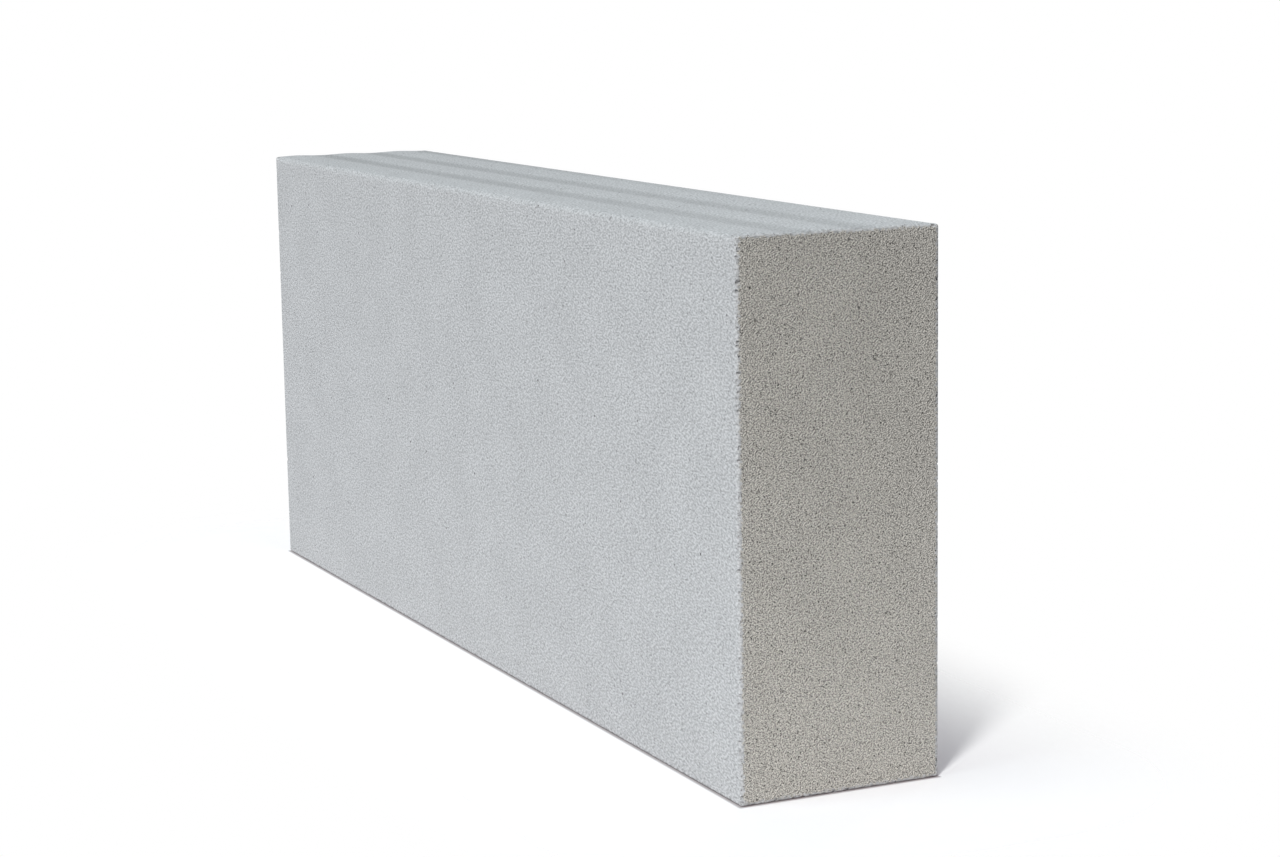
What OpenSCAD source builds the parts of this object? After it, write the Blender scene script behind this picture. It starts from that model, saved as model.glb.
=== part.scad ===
// Aerated concrete block: one sawn masonry unit, standing on one of its long narrow beds.
//
// Frame: millimetres. X runs along the length, Y across the thickness, Z up.
// The origin is the middle of the footprint, on the surface that the block stands on.
//
// The block is one solid. Shallow rounded waves run the whole length of its top bed, and all
// its arrises are rounded, the front one of the top bed the most.

/* [Block] */
// Length of the block
block_length = 625; // [300:1:650]
// Thickness of the block, which is the width of its beds
block_thickness = 100; // [50:1:375]
// Height of the block, up to the crests of the waves
block_height = 250; // [150:1:300]

/* [Waves on the top bed] */
// Distance from one crest to the next
wave_pitch = 33; // [24:1:60]
// Depth of the waves, from crest to valley
wave_depth = 0.5; // [0.2:0.1:1.2]
// Distance from the front face to the first crest
first_crest = 13; // [0:1:20]

/* [Arrises] */
// Radius of the front arris of the top bed
front_arris_radius = 3.5; // [1:0.5:5]
// Radius of the back arris of the top bed
back_arris_radius = 2; // [1:0.5:5]
// Radius of the two long arrises of the bottom bed
bottom_arris_radius = 1.5; // [0.5:0.5:4]
// Radius of the arrises round each end
end_arris_radius = 1.5; // [0.5:0.5:3]

/* [Hidden] */

// Fineness of every arc
$fn = 180;
// How far cutting outlines reach past the block
overrun = 5;

half_thickness = block_thickness / 2;

// A wave is a crest arc and a valley arc of one radius, which meet tangentially at mid depth.
arc_width = wave_pitch / 2;
arc_rise = wave_depth / 2;
arc_radius = pow(arc_width, 2) / (8 * arc_rise) + arc_rise / 2;
crest_centre_z = block_height - arc_radius;
valley_centre_z = block_height - wave_depth + arc_radius;

// Arcs are counted from the first crest: even ones are crests and odd ones are valleys.
function arc_y(i) = first_crest - half_thickness + i * arc_width;
function arc_at(y) = round((y - arc_y(0)) / arc_width);
function is_crest(i) = i % 2 == 0;

// Height of the centre of a top arris at y that is tangent to the arc above it.
function arris_centre_z(y, radius) =
    let (i = arc_at(y))
    is_crest(i)
        ? crest_centre_z + sqrt(pow(arc_radius - radius, 2) - pow(y - arc_y(i), 2))
        : valley_centre_z - sqrt(pow(arc_radius + radius, 2) - pow(y - arc_y(i), 2));

// Where a top arris with its centre at y touches that arc.
function arris_end_y(y, radius) =
    let (i = arc_at(y))
    arc_y(i) + (y - arc_y(i)) * arc_radius / (arc_radius + (is_crest(i) ? -radius : radius));

// What arc i takes off the top of the section.
module wave_waste(i) {
    translate([arc_y(i), 0])
        if (is_crest(i)) {
            difference() {
                translate([-arc_width / 2, block_height - arc_rise])
                    square([arc_width, arc_rise + overrun]);
                translate([0, crest_centre_z])
                    circle(r = arc_radius);
            }
        } else {
            intersection() {
                translate([-arc_width / 2, block_height - wave_depth])
                    square([arc_width, wave_depth + overrun]);
                translate([0, valley_centre_z])
                    circle(r = arc_radius);
            }
        }
}

// What rounding takes off a corner whose arc is centred on the module's origin. The side face
// lies towards -X, and the arc ends at the given x.
module corner_waste(radius, end_x) {
    difference() {
        translate([-radius - overrun, 0])
            square([radius + overrun + end_x, radius + overrun]);
        circle(r = radius);
    }
}

// What rounding takes off the top arris of one side of the section: -1 is the front, 1 the back.
module top_arris_waste(side, radius) {
    y = side * (half_thickness - radius);
    translate([y, arris_centre_z(y, radius)])
        mirror([side > 0 ? 1 : 0, 0])
            corner_waste(radius, -side * (arris_end_y(y, radius) - y));
}

// The cross-section of the block, with Y to the right and Z up.
module section() {
    difference() {
        translate([-half_thickness, 0])
            square([block_thickness, block_height]);
        for (i = [arc_at(-half_thickness) : arc_at(half_thickness)])
            wave_waste(i);
        top_arris_waste(-1, front_arris_radius);
        top_arris_waste(1, back_arris_radius);
        for (side = [0, 1])
            mirror([side, 0])
                translate([bottom_arris_radius - half_thickness, bottom_arris_radius])
                    mirror([0, 1])
                        corner_waste(bottom_arris_radius, 0);
    }
}

// The outline of a face of this width that rounds the arrises at both its ends.
module end_outline(width) {
    straight_length = block_length - 2 * end_arris_radius;
    straight_width = width - 2 * end_arris_radius;
    square([straight_length, width + 2 * overrun], center = true);
    square([block_length, straight_width], center = true);
    for (x = [-1, 1], y = [-1, 1])
        translate([x * straight_length / 2, y * straight_width / 2])
            circle(r = end_arris_radius);
}

module block() {
    color("lightgray")
        intersection() {
            rotate([90, 0, 90])
                linear_extrude(block_length + 2 * overrun, center = true)
                    section();
            translate([0, 0, -overrun])
                linear_extrude(block_height + 2 * overrun)
                    end_outline(block_thickness);
            translate([0, 0, block_height / 2])
                rotate([90, 0, 0])
                    linear_extrude(block_thickness + 2 * overrun, center = true)
                        end_outline(block_height);
        }
}

block();
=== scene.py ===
"""Looks of the aerated concrete block: its porous body, its finish, the studio and the camera.

Lengths are metres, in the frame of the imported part: X runs along the block, Y across its
thickness from the front face to the back face, and Z up. The block's own size and place come
from that frame, and everything else is worked out from them.
"""

import logging
import math
from dataclasses import dataclass
from enum import Enum
from typing import Any, Iterator, Mapping, Sequence

import bpy
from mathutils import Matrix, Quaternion, Vector


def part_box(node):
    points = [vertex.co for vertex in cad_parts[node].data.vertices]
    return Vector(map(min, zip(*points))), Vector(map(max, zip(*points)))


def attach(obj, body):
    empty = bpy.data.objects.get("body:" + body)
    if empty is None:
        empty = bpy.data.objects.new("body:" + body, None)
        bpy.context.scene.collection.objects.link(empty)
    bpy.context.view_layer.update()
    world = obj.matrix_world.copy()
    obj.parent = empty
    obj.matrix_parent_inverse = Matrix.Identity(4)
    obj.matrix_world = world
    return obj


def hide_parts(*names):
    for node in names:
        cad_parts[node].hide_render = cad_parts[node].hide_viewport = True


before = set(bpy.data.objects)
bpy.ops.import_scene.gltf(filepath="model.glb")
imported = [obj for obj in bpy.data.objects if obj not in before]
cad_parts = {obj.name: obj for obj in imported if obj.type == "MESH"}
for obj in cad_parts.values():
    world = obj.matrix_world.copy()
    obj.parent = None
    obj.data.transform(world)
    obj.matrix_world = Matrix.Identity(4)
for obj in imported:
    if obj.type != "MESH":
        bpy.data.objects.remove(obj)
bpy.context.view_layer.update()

LOG = logging.getLogger("aerated_block")
NODE = "block"
BODY = "root"
MM = 0.001

# Name of the mesh attribute that holds the painted shade inside a pore or chip, and 0 elsewhere.
HOLLOW_SHADE_MASK = "hollow"

Triple = tuple[float, float, float]
Socket = bpy.types.NodeSocket


class Graph:
    """A node tree that is written as a chain of calls.

    Args:
        tree: The tree that the nodes go into.
    """

    def __init__(self, tree: bpy.types.NodeTree) -> None:
        self.tree = tree

    def feed(self, socket: Socket, value: Any) -> None:
        """Gives a socket its value.

        Args:
            socket: The input socket.
            value: Another node's output, which is linked, or a constant.
        """
        if isinstance(value, Socket):
            self.tree.links.new(value, socket)
        else:
            socket.default_value = value

    def node(
        self, kind: str, *values: Any, feeds: Mapping[str, Any] | None = None, **settings: Any
    ) -> Any:
        """Adds one node.

        Args:
            kind: Blender's name for the kind of node.
            values: What the first inputs in use take, in order.
            feeds: What the inputs with these names take.
            settings: Values of the node's own properties.

        Returns:
            The new node.
        """
        made = self.tree.nodes.new(kind)
        for name, value in settings.items():
            setattr(made, name, value)
        in_use = [socket for socket in made.inputs if socket.enabled]
        for socket, value in zip(in_use, values):
            self.feed(socket, value)
        for name, value in (feeds or {}).items():
            self.feed(next(socket for socket in in_use if socket.name == name), value)
        return made

    def out(
        self, kind: str, *values: Any, feeds: Mapping[str, Any] | None = None, **settings: Any
    ) -> Socket:
        """Adds one node, as node does, and returns its first output in use."""
        made = self.node(kind, *values, feeds=feeds, **settings)
        return next(socket for socket in made.outputs if socket.enabled)

    def math(self, operation: str, *values: Any) -> Socket:
        """Adds a Math node and returns its result."""
        return self.out("ShaderNodeMath", *values, operation=operation)

    def vector_math(self, operation: str, *values: Any) -> Socket:
        """Adds a Vector Math node and returns its result."""
        return self.out("ShaderNodeVectorMath", *values, operation=operation)

    def ramp(
        self, value: Any, start: Any, end: Any, low: Any = 0.0, high: Any = 1.0, kind: str = "LINEAR"
    ) -> Socket:
        """Maps a value from one range to another, held at both ends.

        Args:
            value: The value to map.
            start: The value that gives low.
            end: The value that gives high.
            low: The result at start.
            high: The result at end.
            kind: Blender's name for the way between them.

        Returns:
            The mapped value.
        """
        return self.out("ShaderNodeMapRange", value, start, end, low, high, interpolation_type=kind)

    def split(self, vector: Any) -> tuple[Socket, ...]:
        """Returns the X, Y and Z of a vector."""
        return tuple(self.node("ShaderNodeSeparateXYZ", vector).outputs)

    def join(self, x: Any, y: Any, z: Any) -> Socket:
        """Returns the vector of three numbers."""
        return self.out("ShaderNodeCombineXYZ", x, y, z)

    def mix(self, share: Any, first: Any, second: Any) -> Socket:
        """Returns the mix of two colours."""
        return self.out("ShaderNodeMix", share, first, second, data_type="RGBA")

    def exceeds(self, value: Any, limit: Any) -> Socket:
        """Returns whether a value is above a limit."""
        return self.out("FunctionNodeCompare", value, limit, data_type="FLOAT", operation="GREATER_THAN")

    def both(self, first: Any, second: Any) -> Socket:
        """Returns whether two conditions hold together."""
        return self.out("FunctionNodeBooleanMath", first, second, operation="AND")

    def pick(self, choice: Any, when_false: Any, when_true: Any) -> Socket:
        """Returns one of two numbers."""
        return self.out("GeometryNodeSwitch", choice, when_false, when_true, input_type="FLOAT")

    def random(self, low: float, high: float, seed: int) -> Socket:
        """Returns a random number for each point."""
        return self.out("FunctionNodeRandomValue", low, high, feeds={"Seed": seed}, data_type="FLOAT")

    def random_vector(self, low: float, high: float, seed: int) -> Socket:
        """Returns a random vector for each point, with each of its numbers in one range."""
        ends = (low,) * 3, (high,) * 3
        return self.out("FunctionNodeRandomValue", *ends, feeds={"Seed": seed}, data_type="FLOAT_VECTOR")


class Side(Enum):
    """A kind of surface of the block."""

    END = "end"
    BIG_FACE = "big face"
    BED = "bed"
    END_ARRIS = "end arris"
    LONG_ARRIS = "long arris"


@dataclass(frozen=True)
class Hollows:
    """Pores or chips of one kind, all open on one kind of surface.

    Attributes:
        side: The surface that they open on.
        density: How many there are in each square metre of it.
        smallest: Radius of the smallest.
        largest: Radius of the largest.
        rarity: How rare the larger ones are: 1 gives every size alike.
        shallowest: Least depth of a hollow's centre, as a share of its radius. A centre above the
            surface, below 0, gives a shallow dish.
        deepest: Greatest depth of a hollow's centre, as a share of its radius.
        shade: How far painted shade darkens the surface inside them, from 0 to 1.
        seed: Seed of all that is random about them.
    """

    side: Side
    density: float
    smallest: float
    largest: float
    rarity: float
    shallowest: float
    deepest: float
    shade: float
    seed: int

    # Least facing along an axis that counts as lying flat across it.
    SQUARE_ON = 0.98
    # Range of the stretch of a hollow along each of its own axes.
    STRETCH = (0.75, 1.3)

    def _chosen(self, graph: Graph, end_zone: Socket) -> Socket:
        """Finds the faces of the body that these hollows open on.

        Args:
            graph: The tree.
            end_zone: How far along X from the middle the arrises of an end begin.

        Returns:
            Whether a face is one of them.
        """
        facing = [graph.math("ABSOLUTE", part) for part in graph.split(graph.out("GeometryNodeInputNormal"))]
        flat_sides = (Side.END, Side.BIG_FACE, Side.BED)
        if self.side in flat_sides:
            return graph.exceeds(facing[flat_sides.index(self.side)], self.SQUARE_ON)
        squarest = graph.math("MAXIMUM", graph.math("MAXIMUM", *facing[:2]), facing[2])
        rounded = graph.exceeds(self.SQUARE_ON, squarest)
        along = graph.math("ABSOLUTE", graph.split(graph.out("GeometryNodeInputPosition"))[0])
        if self.side is Side.END_ARRIS:
            return graph.both(rounded, graph.exceeds(along, end_zone))
        return graph.both(rounded, graph.exceeds(end_zone, along))

    def cutters(self, graph: Graph, body: Socket, ball: Socket, end_zone: Socket) -> Socket:
        """Places a solid wherever a hollow is cut.

        Args:
            graph: The tree.
            body: The body's mesh.
            ball: A ball of radius 1.
            end_zone: How far along X from the middle the arrises of an end begin.

        Returns:
            The solids, as instances.
        """
        spread = graph.node(
            "GeometryNodeDistributePointsOnFaces", body, self._chosen(graph, end_zone), self.density,
            self.seed, distribute_method="RANDOM")
        skew = graph.math("POWER", graph.random(0.0, 1.0, self.seed + 1), self.rarity)
        radius = graph.ramp(skew, 0.0, 1.0, self.smallest, self.largest)
        share = graph.random(-self.deepest, -self.shallowest, self.seed + 2)
        sunk = graph.vector_math("SCALE", spread.outputs["Normal"], graph.math("MULTIPLY", share, radius))
        points = graph.out("GeometryNodeSetPosition", spread.outputs["Points"], feeds={"Offset": sunk})
        scale = graph.vector_math("SCALE", graph.random_vector(*self.STRETCH, self.seed + 3), radius)
        turn = graph.random_vector(0.0, math.tau, self.seed + 4)
        # Each hollow carries the painted shade that darkens its inside.
        shape = graph.out(
            "GeometryNodeStoreNamedAttribute", ball, feeds={"Name": HOLLOW_SHADE_MASK, "Value": self.shade},
            data_type="FLOAT", domain="FACE")
        feeds = {"Instance": shape, "Rotation": turn, "Scale": scale}
        return graph.out("GeometryNodeInstanceOnPoints", points, feeds=feeds)


@dataclass(frozen=True)
class BlockForm:
    """Shape of the block: a body with rounded arrises and waves, and hollows cut out of it.

    Attributes:
        length: Length of the block.
        thickness: Thickness of the block.
        height: Height of the block to the crests of the waves.
        hollows: The kinds of pore and chip to cut.
        wave_pitch: Distance from one crest of the top bed to the next.
        wave_depth: Depth of the waves from crest to valley.
        first_crest: Distance from the front face to the first crest.
        front_arris: Radius of the front arris of the top bed.
        back_arris: Radius of the back arris of the top bed.
        bottom_arris: Radius of the long arrises of the bottom bed.
        end_arris: Radius of the arrises round each end.
        edge_zone: Width of the finely divided band beside each arris.
        edge_steps: Divisions across that band.
        steps: Divisions of the body along X, Y and Z.
        crumb_faces: Number of faces below which a loose part is a crumb.
    """

    length: float
    thickness: float
    height: float
    hollows: Sequence[Hollows]
    wave_pitch: float = 33.0 * MM
    wave_depth: float = 0.5 * MM
    first_crest: float = 13.0 * MM
    front_arris: float = 3.5 * MM
    back_arris: float = 2.0 * MM
    bottom_arris: float = 1.5 * MM
    end_arris: float = 1.5 * MM
    edge_zone: float = 4.0 * MM
    edge_steps: int = 5
    steps: tuple[int, int, int] = (16, 76, 18)
    crumb_faces: float = 1000.0

    # Power by which the grid lines close up towards an arris.
    CROWDING = 1.5
    # Share of the edge zone that counts as the arrises of an end.
    END_SHARE = 0.98

    def _inputs(self) -> Iterator[tuple[str, float]]:
        """Yields the name and value of each size that the tree takes."""
        for name in ("length", "thickness", "height", "wave_pitch", "wave_depth", "first_crest",
                     "front_arris", "back_arris", "bottom_arris", "end_arris"):
            yield name.replace("_", " ").capitalize(), getattr(self, name)

    def _spread(self, graph: Graph, share: Socket, half: Socket, steps: int) -> Socket:
        """Moves evenly spaced grid lines so that several lie close to each arris.

        Args:
            graph: The tree.
            share: Where a line lies in the even grid, from -0.5 to 0.5.
            half: Half the block's size on this axis.
            steps: Divisions of the grid on this axis.

        Returns:
            The line's place on this axis, from the block's middle.
        """
        edge_share = 2 * self.edge_steps / steps
        inward = graph.ramp(graph.math("ABSOLUTE", share), 0.5, 0.0)
        crowded = graph.math("POWER", graph.ramp(inward, 0.0, edge_share), self.CROWDING)
        band = graph.math("MULTIPLY", crowded, self.edge_zone)
        rest = graph.ramp(inward, edge_share, 1.0, 0.0, graph.math("SUBTRACT", half, self.edge_zone))
        reach = graph.math("SUBTRACT", graph.math("SUBTRACT", half, band), rest)
        return graph.math("MULTIPLY", graph.math("SIGN", share), reach)

    def _end_zone(self, graph: Graph, half_length: Socket) -> Socket:
        """Returns how far along X from the middle the arrises of an end begin."""
        return graph.math("SUBTRACT", half_length, self.END_SHARE * self.edge_zone)

    def _radius(
        self, graph: Graph, spot: Sequence[Socket], end_zone: Socket, sizes: Mapping[str, Socket]
    ) -> Socket:
        """Finds the radius of the arris nearest to a point of the body.

        Args:
            graph: The tree.
            spot: The point's X, Y and Z from the block's middle.
            end_zone: How far along X from the middle the arrises of an end begin.
            sizes: The tree's sizes by name.

        Returns:
            The radius.
        """
        top = graph.pick(graph.exceeds(spot[1], 0.0), sizes["Front arris"], sizes["Back arris"])
        along = graph.pick(graph.exceeds(spot[2], 0.0), sizes["Bottom arris"], top)
        at_end = graph.exceeds(graph.math("ABSOLUTE", spot[0]), end_zone)
        return graph.pick(at_end, along, sizes["End arris"])

    def _wave(
        self, graph: Graph, spot: Sequence[Socket], half: Sequence[Socket], sizes: Mapping[str, Socket]
    ) -> Socket:
        """Finds how far the waves lower a point of the body.

        Args:
            graph: The tree.
            spot: The point's X, Y and Z from the block's middle.
            half: Half the block's sizes.
            sizes: The tree's sizes by name.

        Returns:
            The drop, which fades to nothing below the top arrises.
        """
        from_crest = graph.math("SUBTRACT", graph.math("ADD", spot[1], half[1]), sizes["First crest"])
        phase = graph.math("MULTIPLY", graph.math("DIVIDE", from_crest, sizes["Wave pitch"]), math.tau)
        drop = graph.ramp(graph.math("COSINE", phase), 1.0, -1.0, 0.0, sizes["Wave depth"])
        fade = graph.ramp(graph.math("SUBTRACT", half[2], spot[2]), self.edge_zone, 0.0)
        return graph.math("MULTIPLY", drop, fade)

    def _body(
        self, graph: Graph, half: Sequence[Socket], end_zone: Socket, sizes: Mapping[str, Socket]
    ) -> Socket:
        """Builds the body before any hollow is cut.

        Args:
            graph: The tree.
            half: Half the block's sizes.
            end_zone: How far along X from the middle the arrises of an end begin.
            sizes: The tree's sizes by name.

        Returns:
            The body's mesh.
        """
        counts = {f"Vertices {axis}": steps + 1 for axis, steps in zip("XYZ", self.steps)}
        box = graph.out("GeometryNodeMeshCube", (1.0, 1.0, 1.0), feeds=counts)
        shares = graph.split(graph.out("GeometryNodeInputPosition"))
        even = [self._spread(graph, *each) for each in zip(shares, half, self.steps)]
        radius = self._radius(graph, even, end_zone, sizes)
        inner = graph.join(*(graph.math("SUBTRACT", each, radius) for each in half))
        flat = graph.join(*even)
        centre = graph.vector_math("MINIMUM", flat, inner)
        centre = graph.vector_math("MAXIMUM", centre, graph.vector_math("SCALE", inner, -1.0))
        outward = graph.vector_math("NORMALIZE", graph.vector_math("SUBTRACT", flat, centre))
        rounded = graph.vector_math("ADD", centre, graph.vector_math("SCALE", outward, radius))
        spot = graph.split(rounded)
        above_floor = graph.math("ADD", spot[2], half[2])
        z = graph.math("SUBTRACT", above_floor, self._wave(graph, spot, half, sizes))
        return graph.out("GeometryNodeSetPosition", box, feeds={"Position": graph.join(*spot[:2], z)})

    def _swept(self, graph: Graph, mesh: Socket) -> Socket:
        """Removes the crumbs that hollows cut loose where they meet.

        Args:
            graph: The tree.
            mesh: The body with its hollows cut.

        Returns:
            The mesh without them.
        """
        island = graph.out("GeometryNodeInputMeshIsland")
        faces = graph.node(
            "GeometryNodeAccumulateField", feeds={"Value": 1.0, "Group ID": island}, data_type="FLOAT",
            domain="FACE").outputs["Total"]
        crumb = graph.exceeds(self.crumb_faces, faces)
        return graph.out("GeometryNodeDeleteGeometry", mesh, crumb, domain="FACE")

    def tree(self, material: bpy.types.Material) -> bpy.types.NodeTree:
        """Builds the geometry tree of the whole block.

        Args:
            material: The block's material.

        Returns:
            The tree.
        """
        made = bpy.data.node_groups.new("Aerated block", "GeometryNodeTree")
        for name, value in self._inputs():
            socket = made.interface.new_socket(name, in_out="INPUT", socket_type="NodeSocketFloat")
            socket.default_value = value
        made.interface.new_socket("Geometry", in_out="OUTPUT", socket_type="NodeSocketGeometry")
        graph = Graph(made)
        sizes = {socket.name: socket for socket in graph.node("NodeGroupInput").outputs if socket.name}
        half = [graph.math("MULTIPLY", sizes[name], 0.5) for name in ("Length", "Thickness", "Height")]
        end_zone = self._end_zone(graph, half[0])
        body = self._body(graph, half, end_zone, sizes)
        ball = graph.out("GeometryNodeMeshIcoSphere", 1.0, 1)
        cut = graph.node("GeometryNodeMeshBoolean", body, operation="DIFFERENCE", solver="MANIFOLD")
        for kind in self.hollows:
            made.links.new(kind.cutters(graph, body, ball, end_zone), cut.inputs["Mesh 2"])
        solid = graph.out("GeometryNodeRealizeInstances", self._swept(graph, cut.outputs["Mesh"]))
        dressed = graph.out("GeometryNodeSetMaterial", solid, feeds={"Material": material})
        graph.node("NodeGroupOutput", dressed)
        return made

    def build(self, material: bpy.types.Material) -> bpy.types.Object:
        """Builds the block as one plain mesh.

        Args:
            material: The block's material.

        Returns:
            The block's object.
        """
        blank = bpy.data.meshes.new("block_maker")
        maker = bpy.data.objects.new("block_maker", blank)
        bpy.context.scene.collection.objects.link(maker)
        modifier = maker.modifiers.new("Block", "NODES")
        modifier.node_group = self.tree(material)
        sockets = modifier.node_group.interface.items_tree
        identifiers = {item.name: item.identifier for item in sockets if item.in_out == "INPUT"}
        for name, value in self._inputs():
            modifier[identifiers[name]] = value
        evaluated = maker.evaluated_get(bpy.context.evaluated_depsgraph_get())
        mesh = bpy.data.meshes.new_from_object(evaluated)
        bpy.data.objects.remove(maker)
        bpy.data.meshes.remove(blank)
        mesh.name = "concrete_block"
        piece = bpy.data.objects.new("concrete_block", mesh)
        bpy.context.scene.collection.objects.link(piece)
        return piece


class Effect:
    """A shader effect, built once as a node group and placed wherever it is wanted.

    Every effect takes the spot on the surface. A kind of effect names the numbers that it takes
    besides, and draws its nodes.
    """

    name: str
    numbers: tuple[str, ...]

    def __init__(self) -> None:
        self.tree = bpy.data.node_groups.new(self.name, "ShaderNodeTree")
        self.tree.interface.new_socket("Spot", in_out="INPUT", socket_type="NodeSocketVector")
        for number in self.numbers:
            self.tree.interface.new_socket(number, in_out="INPUT", socket_type="NodeSocketFloat")
        self.tree.interface.new_socket("Amount", in_out="OUTPUT", socket_type="NodeSocketFloat")
        graph = Graph(self.tree)
        entry = graph.node("NodeGroupInput")
        taken = [entry.outputs[name] for name in ("Spot", *self.numbers)]
        graph.node("NodeGroupOutput", self.draw(graph, *taken))

    def draw(self, graph: Graph, spot: Socket, *numbers: Socket) -> Socket:
        """Draws the effect's nodes and returns what it puts out."""
        raise NotImplementedError

    def place(self, graph: Graph, spot: Socket, *numbers: Any) -> Socket:
        """Adds the effect to a material.

        Args:
            graph: The material's tree.
            spot: The spot on the surface.
            numbers: The numbers that it takes.

        Returns:
            What it puts out.
        """
        return graph.out("ShaderNodeGroup", spot, *numbers, node_tree=self.tree)


class Pores(Effect):
    """Round open pores of mixed sizes: 1 in a pore and 0 on the skin between them."""

    name = "Pores"
    numbers = ("Spacing", "Radius")

    # Radius of the smallest pore, as a share of the largest.
    SMALLEST = 0.35
    # How rare the larger pores are: 1 gives every size alike.
    RARITY = 2.0
    # Share of a pore's radius within which it is full.
    FULL = 0.6

    def draw(self, graph: Graph, spot: Socket, *numbers: Socket) -> Socket:
        """Draws the effect's nodes and returns what it puts out."""
        spacing, radius = numbers
        cells = graph.node("ShaderNodeTexVoronoi", spot, graph.math("DIVIDE", 1.0, spacing))
        chance = graph.split(cells.outputs["Color"])[0]
        largest = graph.math("DIVIDE", radius, spacing)
        size = graph.ramp(graph.math("POWER", chance, self.RARITY), 0.0, 1.0, self.SMALLEST)
        reach = graph.math("MULTIPLY", size, largest)
        rim = graph.math("MULTIPLY", reach, self.FULL)
        return graph.ramp(cells.outputs["Distance"], reach, rim, kind="SMOOTHSTEP")


class Grain(Effect):
    """Mottling from -1 to 1 with features of about one size, laid out in the spot's X and Y."""

    name = "Grain"
    numbers = ("Size",)

    # Values of the noise that become -1 and 1.
    SPAN = (0.25, 0.75)

    def draw(self, graph: Graph, spot: Socket, *numbers: Socket) -> Socket:
        """Draws the effect's nodes and returns what it puts out."""
        scale = {"Scale": graph.math("DIVIDE", 1.0, numbers[0]), "Detail": 0.0}
        noise = graph.node("ShaderNodeTexNoise", spot, feeds=scale, noise_dimensions="2D")
        return graph.ramp(noise.outputs["Fac"], *self.SPAN, -1.0, 1.0)


@dataclass(frozen=True)
class Skin:
    """How one kind of surface of the block looks.

    Attributes:
        colour: Its colour where nothing lightens or darkens it.
        grain: How far its grain lightens and darkens it.
        grain_height: Height of a grain.
        grain_stretch: Width of a grain as a multiple of its height.
        relief: How far the grain stands out.
        pores: How far painted shade in its many small pores darkens it.
        specks: How far painted shade in its fewer, larger pores darkens it.
        pit: Depth of its pores.
        roughness: Its roughness.
    """

    colour: Triple
    grain: float
    grain_height: float
    grain_stretch: float
    relief: float
    pores: float
    specks: float
    pit: float
    roughness: float


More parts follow.
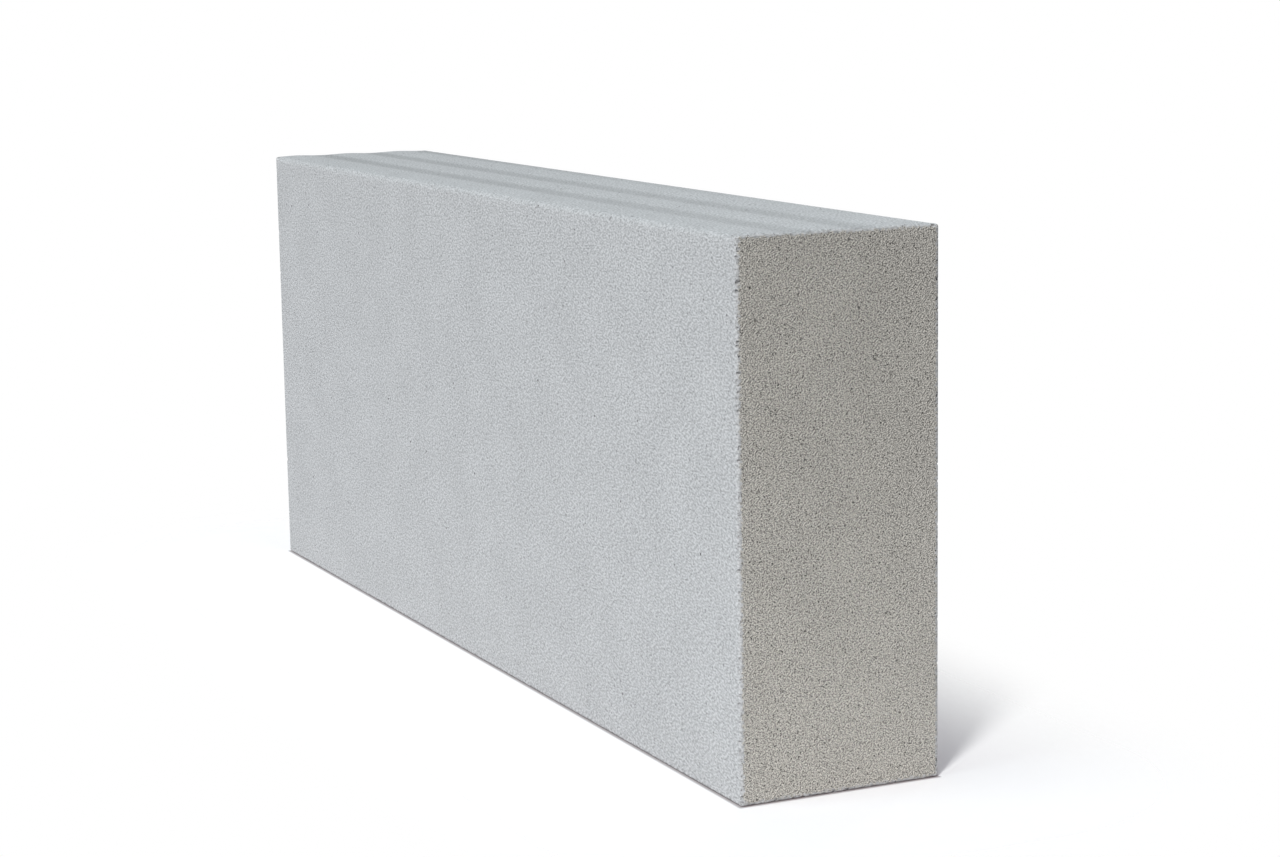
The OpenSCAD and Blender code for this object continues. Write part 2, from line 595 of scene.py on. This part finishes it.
@dataclass(frozen=True)
class Finish:
    """Finish of aerated concrete: pale, matt and porous, and rougher and darker on the sawn ends.

    Attributes:
        form: The block that it is for.
        face: The skin of the big faces and the beds.
        sawn: The skin of the sawn ends.
        pore_spacing: Distance between the small pores.
        pore_radius: Radius of the largest of them.
        speck_spacing: Distance between the larger pores.
        speck_radius: Radius of the largest of them.
        grain_turn: How far the grain is turned, in radians.
        cloud_size: Size of the faint clouds on every face.
        clouds: How far the clouds lighten and darken it.
        valley_painted_shade: How far painted shade darkens the valleys of the waves at the left end.
        valley_kept: Share of that painted shade which is left at the right end, in the valleys nearest the
            front.
        bed_painted_falloff: How far a painted falloff of light darkens the rest of the top bed at the left
            end, as a share of it.
        arris_painted_shade: How far painted shade darkens the long arrises.
        hollow_painted_shade: How far painted shade darkens the inside of a hollow that is cut.
        ragged: How far the edge of a sawn end strays.
        ragged_size: Distance over which it does.
        foot_painted_shade: How far painted contact shade darkens the foot of each side.
        foot_shade_height: Height of that foot.
    """

    form: BlockForm
    face: Skin = Skin((0.528, 0.526, 0.532), 0.20, 0.90 * MM, 2.0, 0.05 * MM, 0.42, 0.25, 0.08 * MM, 0.88)
    sawn: Skin = Skin((0.556, 0.527, 0.484), 0.43, 0.62 * MM, 1.2, 0.16 * MM, 0.65, 0.10, 0.20 * MM, 0.95)
    pore_spacing: float = 1.2 * MM
    pore_radius: float = 0.48 * MM
    speck_spacing: float = 3.5 * MM
    speck_radius: float = 1.0 * MM
    grain_turn: float = 0.6
    cloud_size: float = 30.0 * MM
    clouds: float = 0.02
    valley_painted_shade: float = 0.235
    valley_kept: float = 0.62
    bed_painted_falloff: float = 0.28
    arris_painted_shade: float = 0.09
    hollow_painted_shade: float = 0.5
    ragged: float = 0.7 * MM
    ragged_size: float = 1.6 * MM
    foot_painted_shade: float = 0.5
    foot_shade_height: float = 1.2 * MM

    # Facing along an axis between which a spot passes to the face that lies across it.
    FACING = (0.70, 0.71)
    # Product of the two facings of a long arris between which its painted shade sets in and is full.
    ARRIS_FACING = (0.05, 0.45)
    # Distances in from the rim of an end between which the sawn skin sets in and is full.
    SAWN_INSET = (1.2 * MM, 2.0 * MM)
    # Distances behind the end between which it does.
    SAWN_DEPTH = (1.0 * MM, 0.4 * MM)
    # Cosines of the waves' phase between which the valleys' painted shade sets in and is full.
    VALLEY_PHASE = (0.4, -1.0)
    # Distances behind the block's middle between which the valleys lose the share of painted shade that is
    # kept.
    VALLEY_LOSS = (15.0 * MM, 40.0 * MM)
    # Depths below the crests between which the painted shade of the top bed sets in and is full.
    BED_DEPTH = (1.2 * MM, 0.7 * MM)
    # Size of the mottling that the upper edge of the painted contact shade at the foot follows.
    FOOT_SHADE_MOTTLING = 4.0 * MM
    # How far that edge strays, and where the painted shade is full, as shares of its height.
    GRIME_STRAY, GRIME_FULL = 0.3, 0.2
    # Distances in from the sides between which the painted shade of the bottom bed sets in and is full.
    FOOT_SHADE_RIM = (3.0 * MM, 1.0 * MM)
    # How strongly the skin mirrors.
    SPECULAR = 0.3

    def _layout(self, graph: Graph, spot: Socket, facing: Socket) -> tuple[Socket, Socket]:
        """Lays the surface out flat.

        Args:
            graph: The material's tree.
            spot: The spot on the surface.
            facing: The direction that the surface faces there.

        Returns:
            How far along and how far up the spot is: upright on the sides, and across on the beds.
        """
        x, y, z = graph.split(spot)
        facing_x, _, facing_z = graph.split(graph.vector_math("ABSOLUTE", facing))
        along = graph.ramp(facing_x, *self.FACING, x, y)
        up = graph.ramp(facing_z, *self.FACING, z, y)
        return along, up

    def _sawn(self, graph: Graph, spot: Socket, grain: Effect) -> Socket:
        """Returns 1 on the flat of the sawn ends and 0 elsewhere, with a ragged edge."""
        x, y, z = graph.split(spot)
        wander = grain.place(graph, graph.join(y, z, 0.0), self.ragged_size)
        stray = graph.math("MULTIPLY", wander, self.ragged)
        aside = graph.math("SUBTRACT", self.form.thickness / 2, graph.math("ABSOLUTE", y))
        below = graph.math("SUBTRACT", self.form.height, z)
        inset = graph.math("MINIMUM", graph.math("MINIMUM", aside, below), z)
        flat = graph.ramp(graph.math("ADD", inset, stray), *self.SAWN_INSET)
        reach = (self.form.length / 2 - depth for depth in self.SAWN_DEPTH)
        return graph.math("MULTIPLY", flat, graph.ramp(graph.math("ABSOLUTE", x), *reach))

    def _grains(self, graph: Graph, along: Socket, up: Socket, grain: Effect, skin: Skin) -> Socket:
        """Returns the grain of one skin, turned so that no line of it runs with an arris."""
        spot = graph.join(graph.math("DIVIDE", along, skin.grain_stretch), up, 0.0)
        turned = graph.out(
            "ShaderNodeVectorRotate", spot, feeds={"Angle": self.grain_turn}, rotation_type="Z_AXIS")
        return grain.place(graph, turned, skin.grain_height)

    def _painted_bed_shade(self, graph: Graph, spot: Socket) -> Socket:
        """Finds where painted shade darkens the top bed: in the valleys and towards the left end.

        Args:
            graph: The material's tree.
            spot: The spot on the surface.

        Returns:
            1 where the painted shade is darkest, and 0 on the crests at the right end and off the top bed.
        """
        x, y, z = graph.split(spot)
        left, right = -self.form.length / 2, self.form.length / 2
        first = self.form.first_crest - self.form.thickness / 2
        phase = graph.math("MULTIPLY", graph.math("SUBTRACT", y, first), math.tau / self.form.wave_pitch)
        # Painted shade in the valleys of the waves.
        depth = graph.ramp(graph.math("COSINE", phase), *self.VALLEY_PHASE, kind="SMOOTHSTEP")
        kept = graph.ramp(y, *self.VALLEY_LOSS, self.valley_kept, 0.0)
        behind_first = graph.math("GREATER_THAN", y, first)
        fade = graph.math("MULTIPLY", graph.ramp(x, left, right, 1.0, kept), behind_first)
        # A painted falloff of light darkens the top bed towards its left end.
        left_end_falloff = graph.ramp(x, left, right, self.bed_painted_falloff, 0.0)
        shade = graph.math("MAXIMUM", graph.math("MULTIPLY", depth, fade), left_end_falloff)
        on_top = graph.ramp(z, *(self.form.height - below for below in self.BED_DEPTH))
        return graph.math("MULTIPLY", shade, on_top)

    def _arris(self, graph: Graph, facing: Socket) -> Socket:
        """Returns 1 where painted shade darkens the middle of each long arris, and 0 on the flat faces."""
        _, facing_y, facing_z = graph.split(graph.vector_math("ABSOLUTE", facing))
        return graph.ramp(graph.math("MULTIPLY", facing_y, facing_z), *self.ARRIS_FACING)

    def _painted_foot_shade(self, graph: Graph, spot: Socket, mottling: Socket) -> Socket:
        """Returns 1 on the painted contact shade at the foot of each side, and 0 elsewhere, the bottom bed's
        middle included.
        """
        x, y, z = graph.split(spot)
        stray = graph.math("MULTIPLY", mottling, self.GRIME_STRAY * self.foot_shade_height)
        full = self.GRIME_FULL * self.foot_shade_height
        low = graph.ramp(graph.math("ADD", z, stray), self.foot_shade_height, full)
        rim = [graph.ramp(graph.math("ABSOLUTE", part), *(size / 2 - inset for inset in self.FOOT_SHADE_RIM))
               for part, size in ((x, self.form.length), (y, self.form.thickness))]
        return graph.math("MULTIPLY", low, graph.math("MAXIMUM", *rim))

    def material(self) -> bpy.types.Material:
        """Returns the block's material."""
        made = bpy.data.materials.new("aerated_concrete")
        made.use_nodes = True
        made.node_tree.nodes.clear()
        graph = Graph(made.node_tree)
        pores, grain = Pores(), Grain()
        coordinates = graph.node("ShaderNodeTexCoord").outputs
        spot = coordinates["Object"]
        along, up = self._layout(graph, spot, coordinates["Normal"])
        flat = graph.join(along, up, 0.0)
        sawn = self._sawn(graph, spot, grain)
        skin = {name: graph.ramp(sawn, 0.0, 1.0, getattr(self.face, name), getattr(self.sawn, name))
                for name in ("grain", "relief", "pores", "specks", "pit", "roughness")}
        small = pores.place(graph, flat, self.pore_spacing, self.pore_radius)
        specks = pores.place(graph, flat, self.speck_spacing, self.speck_radius)
        grains = graph.ramp(sawn, 0.0, 1.0, *(
            self._grains(graph, along, up, grain, skin) for skin in (self.face, self.sawn)))
        hollow = graph.node("ShaderNodeAttribute", attribute_name=HOLLOW_SHADE_MASK).outputs["Fac"]
        tone = graph.math("MULTIPLY_ADD", grains, skin["grain"], 1.0)
        # Below, painted shade darkens the pores, valleys, long arrises, hollows and feet; the clouds are the
        # skin's own tone.
        for mask, depth in (
            (small, skin["pores"]),
            (specks, skin["specks"]),
            (self._painted_bed_shade(graph, spot), self.valley_painted_shade),
            (self._arris(graph, coordinates["Normal"]), self.arris_painted_shade),
            (hollow, self.hollow_painted_shade),
            (self._painted_foot_shade(graph, spot, grain.place(graph, flat, self.FOOT_SHADE_MOTTLING)), self.foot_painted_shade),
            (grain.place(graph, flat, self.cloud_size), self.clouds),
        ):
            darker = graph.math("MULTIPLY", mask, depth)
            tone = graph.math("MULTIPLY", tone, graph.math("SUBTRACT", 1.0, darker))
        colour = graph.mix(sawn, (*self.face.colour, 1.0), (*self.sawn.colour, 1.0))
        raised = graph.math("MULTIPLY", grains, skin["relief"])
        sunk = graph.math("MULTIPLY", graph.math("MAXIMUM", small, specks), skin["pit"])
        bump = graph.out("ShaderNodeBump", feeds={
            "Height": graph.math("SUBTRACT", raised, sunk), "Distance": 1.0, "Strength": 1.0})
        shader = graph.node("ShaderNodeBsdfPrincipled", feeds={
            "Base Color": graph.vector_math("SCALE", colour, tone),
            "Roughness": skin["roughness"],
            "Specular IOR Level": self.SPECULAR,
            "Normal": bump,
        })
        graph.node("ShaderNodeOutputMaterial", shader.outputs["BSDF"])
        return made


@dataclass(frozen=True)
class Viewpoint:
    """The camera, which looks at the block's right end and front face.

    Attributes:
        place: Where it stands.
        yaw: How far it is turned from looking along -X towards +Y, in degrees.
        pitch: How far it looks down, in degrees.
        roll: How far it leans, in degrees.
        lens: Focal length in millimetres.
    """

    place: Triple = (1.3593, -0.5856, 0.3610)
    yaw: float = 25.079
    pitch: float = 9.325
    roll: float = -0.911
    lens: float = 78.68

    def build(self) -> bpy.types.Object:
        """Adds the camera and makes it the scene's own."""
        yaw, pitch = math.radians(self.yaw), math.radians(self.pitch)
        level = math.cos(pitch)
        ahead = Vector((-math.cos(yaw) * level, math.sin(yaw) * level, -math.sin(pitch)))
        camera = bpy.data.objects.new("camera", bpy.data.cameras.new("camera"))
        camera.data.lens = self.lens
        camera.location = self.place
        camera.rotation_mode = "QUATERNION"
        lean = Quaternion((0.0, 0.0, 1.0), math.radians(self.roll))
        camera.rotation_quaternion = ahead.to_track_quat("-Z", "Y") @ lean
        bpy.context.scene.collection.objects.link(camera)
        bpy.context.scene.camera = camera
        return camera


@dataclass(frozen=True)
class Lamp:
    """One distant light of the studio.

    Attributes:
        name: Its name.
        towards: Direction from the block to the light.
        strength: Its strength.
        colour: Its colour.
        spread: Its size as seen from the block, in degrees.
    """

    name: str
    towards: Triple
    strength: float
    colour: Triple
    spread: float

    def build(self) -> bpy.types.Object:
        """Adds the light."""
        data = bpy.data.lights.new(self.name, "SUN")
        data.energy = self.strength
        data.color = self.colour
        data.angle = math.radians(self.spread)
        lamp = bpy.data.objects.new(self.name, data)
        lamp.rotation_mode = "QUATERNION"
        lamp.rotation_quaternion = Vector(self.towards).to_track_quat("Z", "Y")
        bpy.context.scene.collection.objects.link(lamp)
        return lamp


@dataclass(frozen=True)
class Studio:
    """A pale floor that shows near the block and merges into a white surround, and soft light.

    Attributes:
        lamps: The lights.
        sky: Colour and strength of the light from all round.
        floor_tone: How much light the floor returns.
        front_bounce: How much light the floor returns in front of the block and at its left.
        bounce_blend: How far past the footprint that has changed to the floor's full tone.
        floor_glow: Colour and strength of the light that the floor gives of its own.
        footprint: Half the length and half the thickness of what stands on the floor.
        contact_shadow_reach: How far from the footprint a painted contact shadow darkens the floor.
        contact_shadow_tone: How far that painted shadow darkens it at most.
        seat_inset: How far inside the footprint the floor ends, so that light reaches the bottom bed.
        shadow_reach: How far from the footprint the floor shows before it merges into the white.
        floor_centre: The middle of the floor.
        floor_inner: Radius where the floor begins to fade into the surround.
        floor_outer: Radius where it has faded.
    """

    lamps: Sequence[Lamp]
    footprint: tuple[float, float]
    contact_shadow_reach: float = 2.0 * MM
    contact_shadow_tone: float = 0.55
    seat_inset: float = 3.0 * MM
    shadow_reach: float = 150.0 * MM
    sky: Triple = (0.10, 0.10, 0.10)
    floor_tone: float = 0.95
    front_bounce: float = 0.65
    bounce_blend: float = 30.0 * MM
    floor_glow: Triple = (0.050, 0.015, 0.020)
    floor_centre: Triple = (-0.5, -0.6, 0.0)
    floor_inner: float = 1.0
    floor_outer: float = 1.6

    # Distance over which the floor ends under the block.
    SEAT_BLEND = 1.0 * MM
    FLOOR_ROUGHNESS = 0.95

    def _gap(self, graph: Graph, spot: Socket) -> Socket:
        """Returns how far a spot on the floor is from the footprint."""
        across, along, _ = graph.split(graph.vector_math("ABSOLUTE", spot))
        outside = [graph.math("MAXIMUM", graph.math("SUBTRACT", part, half), 0.0)
                   for part, half in zip((across, along), self.footprint)]
        return graph.math("SQRT", graph.math("ADD", *(graph.math("POWER", part, 2.0) for part in outside)))

    def _uncovered(self, graph: Graph, spot: Socket) -> Socket:
        """Returns 0 well inside the footprint, where the floor is left out, and 1 elsewhere."""
        across, along, _ = graph.split(graph.vector_math("ABSOLUTE", spot))
        past = [graph.math("SUBTRACT", part, half) for part, half in zip((across, along), self.footprint)]
        start = -self.seat_inset - self.SEAT_BLEND
        return graph.ramp(graph.math("MAXIMUM", *past), start, -self.seat_inset)

    def _floor_material(self) -> bpy.types.Material:
        """Returns the floor's material, which the camera sees only from above and near the block."""
        made = bpy.data.materials.new("studio_floor")
        made.use_nodes = True
        made.node_tree.nodes.clear()
        graph = Graph(made.node_tree)
        spot = graph.node("ShaderNodeTexCoord").outputs["Object"]
        distance = graph.node(
            "ShaderNodeVectorMath", spot, self.floor_centre, operation="DISTANCE").outputs["Value"]
        fading = graph.ramp(distance, self.floor_outer, self.floor_inner)
        solid = graph.math("MULTIPLY", fading, self._uncovered(graph, spot))
        seen = graph.node("ShaderNodeLightPath").outputs["Is Camera Ray"]
        gap = self._gap(graph, spot)
        above = graph.math("SUBTRACT", 1.0, graph.node("ShaderNodeNewGeometry").outputs["Backfacing"])
        near = graph.math("MULTIPLY", above, graph.ramp(gap, self.shadow_reach, 0.0, kind="SMOOTHSTEP"))
        # A painted contact shadow darkens the floor along the footprint.
        contact_shadowed_tone = self.floor_tone * (1 - self.contact_shadow_tone)
        tone = graph.ramp(gap, 0.0, self.contact_shadow_reach, contact_shadowed_tone, self.floor_tone, kind="SMOOTHSTEP")
        past = [graph.math("SUBTRACT", part, half)
                for part, half in zip(graph.split(spot), self.footprint)]
        unseen = graph.ramp(
            graph.math("MAXIMUM", *past), -self.bounce_blend, self.bounce_blend,
            self.front_bounce, self.floor_tone)
        tone = graph.ramp(seen, 0.0, 1.0, unseen, tone)
        shader = graph.node("ShaderNodeBsdfPrincipled", feeds={
            "Base Color": graph.join(tone, tone, tone),
            "Roughness": self.FLOOR_ROUGHNESS,
            "Specular IOR Level": 0.0,
            "Emission Color": (*self.floor_glow, 1.0),
            "Emission Strength": 1.0,
            "Alpha": graph.ramp(seen, 0.0, 1.0, solid, near),
        })
        graph.node("ShaderNodeOutputMaterial", shader.outputs["BSDF"])
        return made

    def _floor(self) -> bpy.types.Object:
        """Adds the floor."""
        x, y, _ = self.floor_centre
        reach = self.floor_outer
        corners = [(x + across * reach, y + along * reach, 0.0)
                   for across, along in ((-1, -1), (1, -1), (1, 1), (-1, 1))]
        mesh = bpy.data.meshes.new("studio_floor")
        mesh.from_pydata(corners, [], [(0, 1, 2, 3)])
        mesh.materials.append(self._floor_material())
        floor = bpy.data.objects.new("studio_floor", mesh)
        bpy.context.scene.collection.objects.link(floor)
        return floor

    def _surround(self) -> None:
        """Sets the world: white where it is seen, and the sky's own tone where it lights."""
        world = bpy.data.worlds.new("surround")
        world.use_nodes = True
        world.node_tree.nodes.clear()
        graph = Graph(world.node_tree)
        seen = graph.node("ShaderNodeLightPath").outputs["Is Camera Ray"]
        sky = graph.out("ShaderNodeBackground", (*self.sky, 1.0), 1.0)
        white = graph.out("ShaderNodeBackground", (1.0, 1.0, 1.0, 1.0), 1.0)
        graph.node("ShaderNodeOutputWorld", graph.out("ShaderNodeMixShader", seen, sky, white))
        bpy.context.scene.world = world

    def build(self) -> bpy.types.Object:
        """Adds the studio and returns its floor."""
        for lamp in self.lamps:
            lamp.build()
        self._surround()
        bpy.context.scene.view_settings.view_transform = "Standard"
        return self._floor()


def kinds_of_hollow() -> tuple[Hollows, ...]:
    """Returns the pores of each kind of surface and the chips along the arrises."""
    return (
        # In each, the number before the seed is how far painted shade darkens the inside of its hollows.
        Hollows(Side.END, 35000.0, 0.28 * MM, 0.60 * MM, 3.0, 0.0, 0.5, 1.0, 11),
        Hollows(Side.BIG_FACE, 1800.0, 0.30 * MM, 0.80 * MM, 3.0, 0.0, 0.5, 1.0, 31),
        Hollows(Side.BED, 4500.0, 0.30 * MM, 0.90 * MM, 3.0, 0.0, 0.5, 1.0, 51),
        Hollows(Side.END_ARRIS, 300000.0, 0.40 * MM, 1.40 * MM, 2.5, -0.5, 0.1, 0.1, 71),
        Hollows(Side.LONG_ARRIS, 15000.0, 0.40 * MM, 1.20 * MM, 3.0, -0.5, 0.0, 0.3, 91),
    )


def main() -> None:
    """Builds the block and its studio."""
    logging.basicConfig(level=logging.INFO, format="%(message)s")
    low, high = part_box(NODE)
    size = high - low
    form = BlockForm(size.x, size.y, size.z, kinds_of_hollow())
    block = form.build(Finish(form).material())
    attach(block, BODY)
    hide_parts(NODE)
    LOG.info("%s: %d faces", block.name, len(block.data.polygons))
    studio = Studio((
        Lamp("key", (0.68, -0.73, 0.97), 2.2, (1.0, 1.0, 0.99), 8.0),
        Lamp("overhead", (0.0, 0.0, 1.0), 0.90, (0.84, 1.0, 1.08), 60.0),
        Lamp("fill", (-0.1, -1.0, 0.62), 0.92, (0.88, 1.0, 1.06), 40.0),
        Lamp("back", (-0.7, 1.0, 0.05), 1.1, (0.96, 1.0, 1.0), 6.0),
    ), (size.x / 2, size.y / 2))
    studio.build()
    LOG.info("studio: %d lamps", len(studio.lamps))
    Viewpoint().build()


if __name__ == "__main__":
    main()
